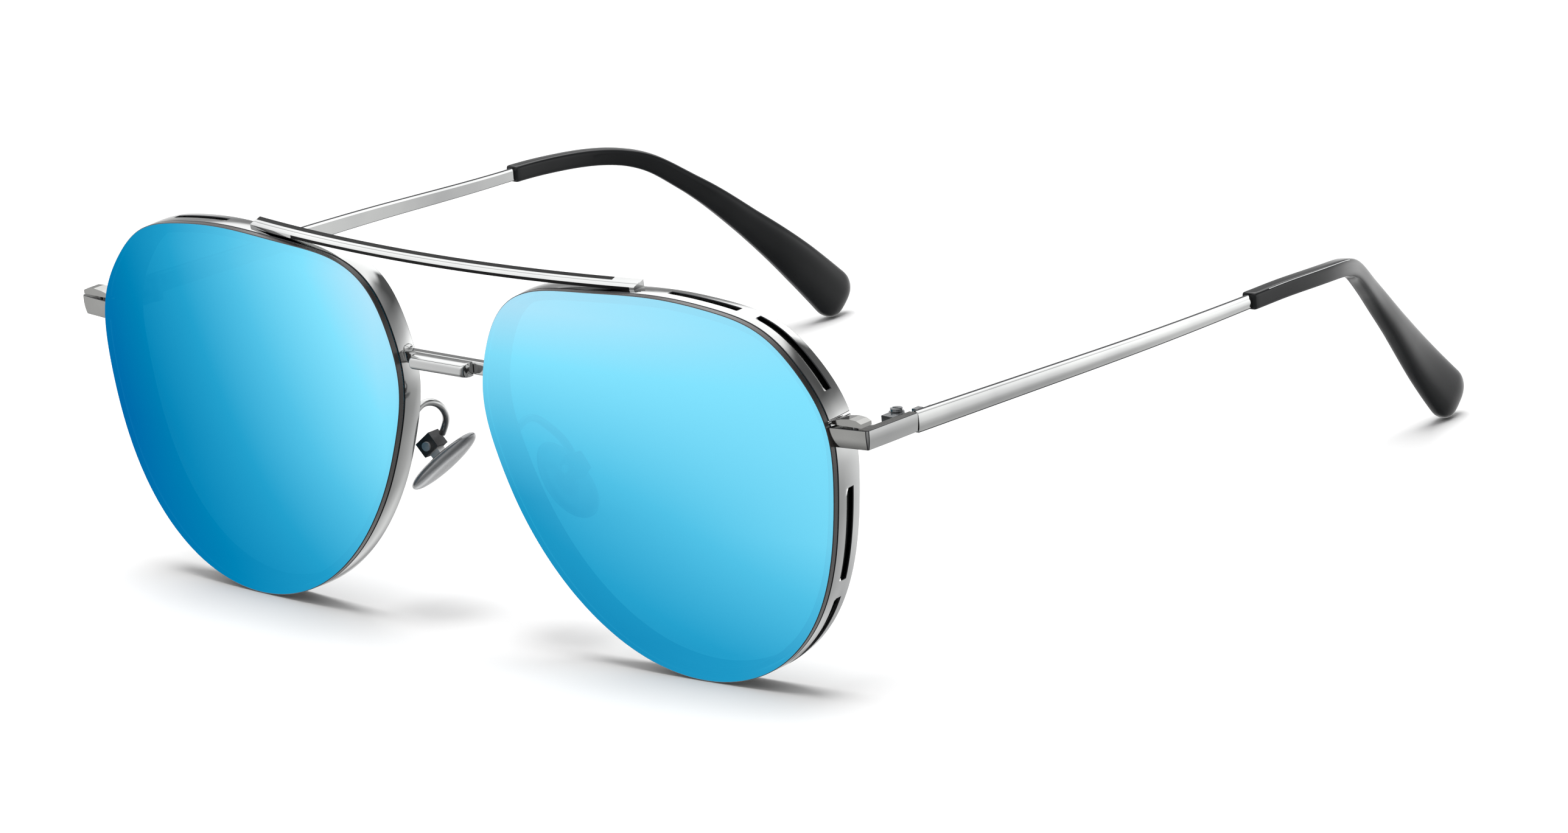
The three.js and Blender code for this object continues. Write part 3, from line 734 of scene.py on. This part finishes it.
def bridge_face():
    """The raised half-round bar on the bridge's front, with rounded ends."""
    rounding = FACE_END * (1 - np.cos(np.linspace(0, math.pi / 2, FACE_END_STEPS)))
    xs = np.concatenate([rounding - BRIDGE_FACE_HALF, BRIDGE_FACE_HALF - rounding[::-1]])
    angles = np.linspace(-math.pi / 2, math.pi / 2, FACE_CORNERS)
    half = BRIDGE_HEIGHT / 2
    sections = []
    for x in xs:
        inside = max(0.0, abs(x) - (BRIDGE_FACE_HALF - FACE_END)) / FACE_END
        rounded = math.sqrt(max(0.0, 1 - inside ** 2))
        reach = BRIDGE_FACE_DEPTH * (FACE_END_DEPTH + (1 - FACE_END_DEPTH) * rounded)
        nose = [(-reach * math.cos(a) ** FACE_BULGE[0],
                 half * math.copysign(abs(math.sin(a)) ** FACE_BULGE[1], a)) for a in angles]
        sections.append(nose + [(FACE_SINK, half), (FACE_SINK, -half)])
    centres = np.column_stack([
        xs, np.full(len(xs), BRIDGE_STEP - FACE_FORWARD), np.full(len(xs), BRIDGE_Z)])
    back = np.tile((0.0, 1.0, 0.0), (len(xs), 1))
    up = np.tile((0.0, 0.0, 1.0), (len(xs), 1))
    return sweep(centres, back, up, sections)


def box_body(low, high):
    """A box between two corners."""
    corners = [(x, y, z) for x in (low[0], high[0]) for y in (low[1], high[1])
               for z in (low[2], high[2])]
    faces = [(0, 1, 3, 2), (4, 6, 7, 5), (0, 4, 5, 1), (2, 3, 7, 6), (0, 2, 6, 4), (1, 5, 7, 3)]
    return corners, faces


face_points, face_faces = bridge_face()
make_piece("bridge_face_bar", face_points, face_faces, "frame", "silver_plating",
           [silver], nodes=("bridge",), sharp=60.0)
back_points, back_faces = box_body(
    (-BACK_BAR_HALF, BRIDGE_STEP - FACE_FORWARD / 2, BRIDGE_Z - BACK_BAR_BELOW),
    (BACK_BAR_HALF, BRIDGE_BACK, BRIDGE_Z + BACK_BAR_ABOVE))
make_piece("bridge_back_bar", back_points, back_faces, "frame", "silver_plating",
           [silver], bevel=0.4, segments=6)

WELD_AT = (8.25, 2.5, 39.75)
WELD_SIZE = (0.85, 0.8, 0.6)
WELD_AROUND = 32
WELD_ROWS = 15


def weld():
    """A smooth bead of solder where the bridge meets the rim."""
    turns = np.linspace(0, 2 * math.pi, WELD_AROUND, endpoint=False)
    rises = np.linspace(-math.pi / 2, math.pi / 2, WELD_ROWS + 2)[1:-1]
    rings = [np.stack([np.cos(turns) * math.cos(r), np.sin(turns) * math.cos(r),
                       np.full(WELD_AROUND, math.sin(r))], -1) for r in rises]
    points = np.concatenate(rings) * WELD_SIZE + WELD_AT
    return points, tube_faces(WELD_ROWS, WELD_AROUND)


weld_points, weld_faces = weld()
for weld_side, weld_sign in (("left", 1.0), ("right", -1.0)):
    make_piece(f"bridge_weld_{weld_side}", weld_points * np.array([weld_sign, 1.0, 1.0]),
               weld_faces, "frame", "silver_plating", [silver], sharp=60.0)

# ---- Temple bars and tips ---------------------------------------------------------------

BAR_STEPS = 96
TIP_STEPS = 120
# How far the bar's outer face bulges, then its upper outer bevel and where that is rounded, as
# shares of its width and drop, and its chamfers: across and down at each corner.
BAR_CROWN = 0.13
CROWN_STEPS = 9
BEVEL_WIDE = 0.5
BEVEL_DROP = 0.36
BEVEL_ROUND = [(0.5, 0.44), (0.76, 0.22), (1.0, 0.0)]
TOP_CHAMFER = [(0.42, 0.0), (0.3, 0.085), (0.0, 0.3)]
FOOT_CHAMFER = 0.14
OUTER_CHAMFER = (0.2, 0.16)


def bar_section(height):
    """The bar's section: a wide bevel over a slightly rounded outer face, and a small one
    over the inner face."""
    half_x = BAR_THICKNESS / 2
    half_z = height / 2
    low, high = -half_z + OUTER_CHAMFER[1], half_z - BEVEL_DROP
    outer = []
    for share in np.linspace(0, 1, CROWN_STEPS):
        z = low + (high - low) * share
        outer.append((half_x - BAR_CROWN * (2 * share - 1) ** 2, z))
    edge = half_x - BAR_CROWN
    top = [(edge - BEVEL_WIDE * wide, half_z - BEVEL_DROP * drop) for wide, drop in BEVEL_ROUND]
    inner = [(across - half_x, half_z - down) for across, down in TOP_CHAMFER]
    foot = [(-half_x, -half_z + FOOT_CHAMFER), (-half_x + FOOT_CHAMFER, -half_z),
            (half_x - OUTER_CHAMFER[0], -half_z)]
    return outer + top + inner + foot


BAR_CORNERS = len(bar_section(BAR_HEIGHTS[0]))
# The faces across the bar's section that are painted dark, as painted dark reflection lines.
BAR_PAINTED_LINES = (10, 11, 12, 15, 17)

TEMPLE_LINE = smooth_line(BAR_LINE[:-1] + TIP_LINE)
LINE_SHARES = np.linspace(0, 1, 2001)
LINE_Y = TEMPLE_LINE(LINE_SHARES)[:, 1]


def share_at(y):
    """The share of the temple's length at a distance behind the lenses."""
    return float(np.interp(y, LINE_Y, LINE_SHARES))


def temple_bar(collar_y):
    """The flat bar from the hinge to where the tip begins, at collar_y."""
    shares = np.linspace(0, share_at(collar_y), BAR_STEPS + 1)
    side, up = upright_sides(tangents(TEMPLE_LINE, shares))
    full = share_at(TIP_LINE[0][1])
    sections = [bar_section(through(BAR_HEIGHTS, min(1.0, share / full))) for share in shares]
    return sweep(TEMPLE_LINE(shares), side, up, sections)


TIP_CORNERS = 40
# How boxy the tip's section is where it begins and further on, and where that is reached.
TIP_BOXY = 6.0
TIP_ROUND = 2.9
TIP_ROUND_FROM = 1 / 1.6
# The tip's front edge: shares of the temple's length and how thick the tip is there.
COLLAR_ENDS = (0.0, 0.0008, 0.0025)
COLLAR_SCALES = (0.88, 0.97)
# The rounded end: its rings, how thick its last one is, and how full the rounding.
TIP_END_RINGS = 13
TIP_END_SCALE = 0.12
TIP_END_FULLNESS = 0.85
# A painted highlight: a pale strip of faces along the tip's upper outer edge, standing in for its
# glint: which face across the section, and its first and last ring.
HIGHLIGHT_CORNER = 4
HIGHLIGHT_FROM = 6
HIGHLIGHT_STEPS = 44


def tip_section(width, height, roundness):
    """A boxy oval: roundness 2 is an ellipse, and more is squarer."""
    turn = (np.arange(TIP_CORNERS) + 0.5) * 2 * math.pi / TIP_CORNERS
    x = np.sign(np.cos(turn)) * np.abs(np.cos(turn)) ** (2 / roundness)
    z = np.sign(np.sin(turn)) * np.abs(np.sin(turn)) ** (2 / roundness)
    return np.stack([x * width / 2, z * height / 2], -1)


def temple_tip(collar_y):
    """The hooked tip, from collar_y to its rounded end."""
    begin, edge, full = (share_at(collar_y) + share for share in COLLAR_ENDS)
    middle = share_at(TIP_LINE[0][1])
    round_share = TIP_ROUNDING / TEMPLE_LINE.length
    turn = np.linspace(0, math.pi / 2, TIP_END_RINGS + 1)[1:]
    shares = np.concatenate([
        [begin, edge], np.linspace(full, 1 - round_share, TIP_STEPS),
        1 - round_share * (1 - np.sin(turn))])
    scales = np.concatenate([
        COLLAR_SCALES, np.ones(TIP_STEPS),
        TIP_END_SCALE + (1 - TIP_END_SCALE) * np.cos(turn) ** TIP_END_FULLNESS])
    side, up = upright_sides(tangents(TEMPLE_LINE, shares))
    sections = []
    for share, k in zip(shares, scales):
        s = max(0.0, (share - middle) / (1 - middle))
        sections.append(tip_section(
            through(TIP_THICKNESS, s) * k, through(TIP_HEIGHTS, s) * k,
            TIP_BOXY + (TIP_ROUND - TIP_BOXY) * min(1.0, s / TIP_ROUND_FROM)))
    return sweep(TEMPLE_LINE(shares), side, up, sections)


temples = ("temple_left", "temple_right")
# The two tips begin at different places, as in the photograph.
COLLAR_Y = {"left": 84.6, "right": 89.6}
bars = {side: temple_bar(y) for side, y in COLLAR_Y.items()}
bar_points = {side: bar[0] for side, bar in bars.items()}
bar_faces = bars["left"][1]
bar_indices = [1 if i % BAR_CORNERS in BAR_PAINTED_LINES else 0 for i in range(len(bar_faces))]
make_pair("temple_bar", bar_points, bar_faces, temples, "silver_plating",
          [silver, painted_dark_edge], crisp=18.0, indices=bar_indices)
tips = {side: temple_tip(y) for side, y in COLLAR_Y.items()}
tip_points = {side: tip[0] for side, tip in tips.items()}
tip_faces = tips["left"][1]
# Pale faces along the tip's upper outer edge: a painted highlight.
tip_indices = [0] * len(tip_faces)
for ring in range(HIGHLIGHT_FROM + 1, HIGHLIGHT_STEPS):
    tip_indices[ring * TIP_CORNERS + HIGHLIGHT_CORNER] = 1
make_pair("temple_tip", tip_points, tip_faces, temples, "black_acetate", [acetate, painted_crease_highlight],
          indices=tip_indices)

# ---- Nose pads and their wires ----------------------------------------------------------

pad_down = unit(PAD_DOWN)
pad_out = unit(PAD_OUT)
pad_back = unit(np.cross(pad_out, pad_down))

PAD_AROUND = 72
PAD_ROWS = 15
PAD_FULLNESS = 0.45
PAD_WIDENING = 0.1
WIRE_STEPS = 64
WIRE_AROUND = 20


def nose_pad():
    """A rounded oval pad, wider towards its lower end, with a softly crowned face."""
    angle = np.linspace(0, 2 * math.pi, PAD_AROUND, endpoint=False)
    rings = []
    for turn in np.linspace(-math.pi / 2, math.pi / 2, PAD_ROWS + 2)[1:-1]:
        reach = abs(math.cos(turn)) ** PAD_FULLNESS
        height = PAD_THICKNESS / 2 * math.sin(turn)
        along = np.cos(angle) * PAD_LENGTH / 2 * reach
        wide = np.sin(angle) * PAD_WIDTH / 2 * (1 + PAD_WIDENING * np.cos(angle)) * reach
        rings.append(np.array(PAD_CENTRE) + along[:, None] * pad_down
                     + wide[:, None] * pad_back + height * pad_out)
    return np.concatenate(rings), tube_faces(PAD_ROWS, PAD_AROUND)


def pad_wire():
    """The round hooked wire that carries the pad."""
    line = smooth_line(WIRE_LINE)
    shares = np.linspace(0, 1, WIRE_STEPS + 1)
    ahead = tangents(line, shares)
    side = unit(np.cross(ahead, (1.0, 0.0, 0.0)))
    up = unit(np.cross(side, ahead))
    angle = np.linspace(0, 2 * math.pi, WIRE_AROUND, endpoint=False)
    ring = np.stack([np.cos(angle), np.sin(angle)], -1) * WIRE_RADIUS
    return sweep(line(shares), side, up, [ring] * len(shares))


pad_points, pad_faces = nose_pad()
make_pair("nose_pad", pad_points, pad_faces, ("pad_left", "pad_right"), "pad_silicone",
          [silicone], sharp=60.0)
wire_points, wire_faces = pad_wire()
make_pair("pad_arm", wire_points, wire_faces, FRAME, "silver_plating", [silver], sharp=50.0)

# ---- End pieces -------------------------------------------------------------------------

END_TOP = 38.6
END_BOTTOM = 35.85
END_DROP = 0.02
END_FRONT_Y = 4.2
# How far the outer faces bulge, and the share of the height at which they bulge most.
END_CROWN = 0.45
END_CREST = 0.8
END_LEVELS = 13
# The plan, which of its faces are the front painted darker as painted shade, and how far the
# crown moves each corner sideways and back at the top and bottom, as shares of END_CROWN.
END_PLAN = [
    (67.2, 3.1), (70.0, 3.52), (72.7, 4.02), (73.0, 4.35), (73.0, 9.0), (73.0, 14.1),
    (71.55, 14.1), (71.55, 7.0), (70.85, 6.1), (67.2, 5.9),
]
END_FRONT = (0, 1)
END_INSET = [(0, 1), (0, 1), (-0.3, 0.7), (-0.8, 0.3), (-0.6, 0), (-0.6, 0),
             (0, 0), (0, 0), (0, 0), (0, 0)]


def end_piece():
    """The piece round the corner from the rim to the hinge, falling a little to the back."""
    rings = []
    for level in np.linspace(0, 1, END_LEVELS):
        plan = np.array(END_PLAN)
        away = (END_CREST - level) / (END_CREST if level < END_CREST else 1.0)
        plan = plan + np.array(END_INSET) * END_CROWN * away ** 2
        back = plan[:, 1] - END_FRONT_Y
        bottom = END_BOTTOM - END_DROP / 2 * back
        top = END_TOP - END_DROP * back
        rings.append(np.column_stack([plan, bottom + (top - bottom) * level]))
    return np.concatenate(rings), tube_faces(END_LEVELS, len(END_PLAN))


end_points, end_faces = end_piece()
# The front faces take the darker silver, painted shade, and the bevels the dark silver, painted
# dark reflection lines.
end_indices = [1 if i % len(END_PLAN) in END_FRONT else 0 for i in range(len(end_faces))]
make_pair("end_piece", end_points, end_faces, FRAME, "silver_plating",
          [silver, shaded_silver, painted_dark_edge], indices=end_indices, bevel=0.07, sharp=22.0, crisp=18.0)

# ---- CAD nodes that stay, with softened edges and their own materials --------------------

# The rounding's width, its segments, and the angle in degrees from which an edge is rounded.
KEPT_NODES = [
    # The rim locks take the darker silver, painted shade.
    ("rim_lock", shaded_silver, "silver_plating", (0.3, 5, 12.0)),
    ("lock_screw", steel, "hinge_steel", (0.04,)),
    ("hinge_front", steel, "hinge_steel", (0.08,)),
    ("hinge_rear", steel, "hinge_steel", (0.08,)),
    ("hinge_screw", steel, "hinge_steel", (0.05,)),
    ("pad_box", dark_steel, "hinge_steel", (0.08,)),
    ("pad_screw", screw_steel, "hinge_steel", (0.05,)),
    ("pad_lug", screw_steel, "hinge_steel", (0.06,)),
]
for stem, material, slot_name, rounding in KEPT_NODES:
    for side_name in ("left", "right"):
        node = frame["nodes"][f"{stem}_{side_name}"]
        node.data.materials.clear()
        node.data.materials.append(material)
        soften(node, *rounding)

# ---- Floor ------------------------------------------------------------------------------

FLOOR_HALF = 20.0


def floor():
    """Plain pale paper, far wider than the view."""
    mesh = bpy.data.meshes.new("floor")
    half = FLOOR_HALF
    mesh.from_pydata([(-half, -half, 0), (half, -half, 0), (half, half, 0), (-half, half, 0)],
                     [], [(0, 1, 2, 3)])
    material, tree, shader = new_material("floor_paper", Roughness=0.9)
    shader.inputs["Specular IOR Level"].default_value = 0.0
    tone = ramp_node(tree, noise_node(tree, 3.0), [(0.3, 0.93), (0.7, 0.95)])
    tree.links.new(tone, shader.inputs["Base Color"])
    mesh.materials.append(material)
    piece = bpy.data.objects.new("floor", mesh)
    bpy.context.scene.collection.objects.link(piece)
    piece.visible_glossy = False


floor()

# ---- World ------------------------------------------------------------------------------

# The brightest level a ramp can hold, and the share of the studio's light that is left after a
# matt surface, so that the lamp above gives the shadows.
WORLD_SCALE = 3.0
DIFFUSE_SHARE = 0.35
SUN_STRENGTH = 2.6
SUN_SOFTNESS = math.radians(40)
BACKDROP = (1.0, 1.0, 1.0, 1.0)
# The studio round the object, as the metal sees it. Each sector has its middle's azimuth in
# degrees (0 behind the object, 90 at its left, 180 in front) and its brightness by elevation.
# What a sector leaves out above its last elevation comes from ABOVE.
ABOVE = [(60, 2.0), (90, 1.7)]
CAMERA_SIDE = [(-90, 0.1), (-40, 0.2), (-10, 0.25), (20, 0.3), (45, 0.8)]
FRONT_SIDE = [(-90, 0.1), (-52, 0.2), (-36, 0.95), (-31, FRONT_LEVEL), (5, FRONT_LEVEL),
              (25, 1.2), (45, 1.6)]
SECTORS = [
    (-154, FRONT_SIDE),
    (-115, FRONT_SIDE),
    (-75, [(-90, 0.4), (-60, 0.6), (-45, 0.8), (-25, 0.8), (0, 0.9), (20, 0.8), (38, 1.8)]),
    (-43, [(-90, 0.4), (-60, 0.9), (-48, 1.4), (-36, 0.3), (-28, 0.7), (-14, 1.0), (2, 0.8),
           (9, 0.45), (14, 0.32), (20, 0.4), (24, 2.0), (36, 2.6)]),
    (3, [(-90, 0.4), (-60, 0.8), (-48, 1.2), (-40, 0.8), (-27, 1.4), (-14, 2.2), (2, 1.4),
         (10, 0.6), (20, 0.9), (28, 2.6)]),
    (11, [(-90, 0.3), (-60, 0.7), (-46, 1.0), (-36, 0.9), (-27, 1.4), (-14, 2.0), (2, 1.4),
          (12, 0.7), (20, 0.2), (44, 0.16), (49, 1.8)]),
    (22, [(-90, 0.3), (-60, 0.5), (-46, 0.75), (-36, 1.0), (-27, 1.2), (-14, 1.7), (2, 1.4),
          (12, 0.8), (20, 0.25), (44, 0.16), (50, 1.6)]),
    (40, [(-90, 0.3), (-60, 0.4), (-46, 0.6), (-34, 0.6), (-25, 0.7), (-19, 1.0), (-15, 1.35),
          (-8, 1.7), (4, 2.4), (11, 1.2), (20, 0.45), (26, 0.16), (42, 0.16), (50, 0.5)]),
    (75, [(-90, 0.2), (-40, 0.3), (-16, 0.5), (0, 0.7), (25, 0.4), (45, 0.8)]),
    (110, CAMERA_SIDE),
    (168, [(-90, 0.1), (-40, 0.4), (-10, 0.95), (20, 0.95), (45, 1.2)]),
]


def overhead_light():
    """A large soft lamp straight above, which gives the floor its light and the shadows."""
    data = bpy.data.lights.new("overhead", "SUN")
    data.energy = SUN_STRENGTH
    data.angle = SUN_SOFTNESS
    lamp = bpy.data.objects.new("overhead", data)
    lamp.visible_glossy = False
    bpy.context.scene.collection.objects.link(lamp)


def world():
    """The studio's sectors blended into one another, and a white backdrop for the camera."""
    studio = bpy.data.worlds.new("studio")
    bpy.context.scene.world = studio
    studio.use_nodes = True
    tree = studio.node_tree
    tree.nodes.clear()
    coordinates = tree.nodes.new("ShaderNodeTexCoord")
    split = tree.nodes.new("ShaderNodeSeparateXYZ")
    tree.links.new(coordinates.outputs["Generated"], split.inputs[0])
    azimuth = math_node(tree, "ARCTAN2", split.outputs["X"], split.outputs["Y"])
    turn = math_node(tree, "ADD", math_node(tree, "DIVIDE", azimuth, 2 * math.pi), 0.5)
    rise = math_node(tree, "ADD", math_node(tree, "DIVIDE", split.outputs["Z"], 2), 0.5)
    count = len(SECTORS)
    places = [(sector[0] + 180) / 360 for sector in SECTORS]
    total = None
    for i, (_, levels) in enumerate(SECTORS):
        here, before, after = places[i], places[i - 1], places[(i + 1) % count]
        stops = [(here, 1.0), (before, 0.0), (after, 0.0)]
        if i in (0, count - 1):
            # The sector's share goes on across the join at 180 degrees.
            gap = places[0] + 1 - places[-1]
            at_join = places[0] / gap if i == count - 1 else (1 - places[-1]) / gap
            stops += [(0.0, at_join), (1.0, at_join)]
        share = ramp_node(tree, turn, stops)
        levels = levels + [stop for stop in ABOVE if stop[0] > levels[-1][0]]
        shades = [((math.sin(math.radians(el)) + 1) / 2, value / WORLD_SCALE)
                  for el, value in levels]
        shade = ramp_node(tree, rise, shades)
        part = mix_node(tree, 1.0, share, shade, "MULTIPLY")
        total = part if total is None else mix_node(tree, 1.0, total, part, "ADD")
    seen = tree.nodes.new("ShaderNodeBackground")
    tree.links.new(total, seen.inputs["Color"])
    plain = tree.nodes.new("ShaderNodeBackground")
    plain.inputs["Color"].default_value = BACKDROP
    rays = tree.nodes.new("ShaderNodeLightPath")
    choose = tree.nodes.new("ShaderNodeMixShader")
    output = tree.nodes.new("ShaderNodeOutputWorld")
    matt = math_node(tree, "MINIMUM", rays.outputs["Diffuse Depth"], 1.0)
    dimming = math_node(tree, "MULTIPLY", matt, WORLD_SCALE * (DIFFUSE_SHARE - 1))
    strength = math_node(tree, "ADD", dimming, WORLD_SCALE)
    tree.links.new(strength, seen.inputs["Strength"])
    tree.links.new(rays.outputs["Is Camera Ray"], choose.inputs[0])
    tree.links.new(seen.outputs[0], choose.inputs[1])
    tree.links.new(plain.outputs[0], choose.inputs[2])
    tree.links.new(choose.outputs[0], output.inputs["Surface"])


world()
overhead_light()

# ---- Camera -----------------------------------------------------------------------------

CAMERA_AZIMUTH = math.radians(43.0)
CAMERA_ELEVATION = math.radians(16.56)
CAMERA_ROLL = math.radians(-5.0)
CAMERA_DISTANCE = 1.3414
CAMERA_TARGET = Vector((0.00634, -0.01236, 0.016034))
CAMERA_LENS = 221.58
CAMERA_SENSOR = 36.0


def camera():
    """The photograph's viewing angle: in front, to the object's left and a little above."""
    back = Vector((
        math.sin(CAMERA_AZIMUTH) * math.cos(CAMERA_ELEVATION),
        -math.cos(CAMERA_AZIMUTH) * math.cos(CAMERA_ELEVATION),
        math.sin(CAMERA_ELEVATION)))
    level = Vector((0, 0, 1)).cross(back).normalized()
    upward = back.cross(level)
    right = math.cos(CAMERA_ROLL) * level + math.sin(CAMERA_ROLL) * upward
    top = math.cos(CAMERA_ROLL) * upward - math.sin(CAMERA_ROLL) * level
    data = bpy.data.cameras.new("camera")
    data.lens = CAMERA_LENS
    data.sensor_width = CAMERA_SENSOR
    data.sensor_fit = "HORIZONTAL"
    data.clip_start = 0.01
    data.clip_end = 100.0
    eye = bpy.data.objects.new("camera", data)
    place = Matrix((right, top, back)).transposed().to_4x4()
    place.translation = CAMERA_TARGET + CAMERA_DISTANCE * back
    eye.matrix_world = place
    bpy.context.scene.collection.objects.link(eye)
    bpy.context.scene.camera = eye


camera()
bpy.context.scene.view_settings.view_transform = "Standard"
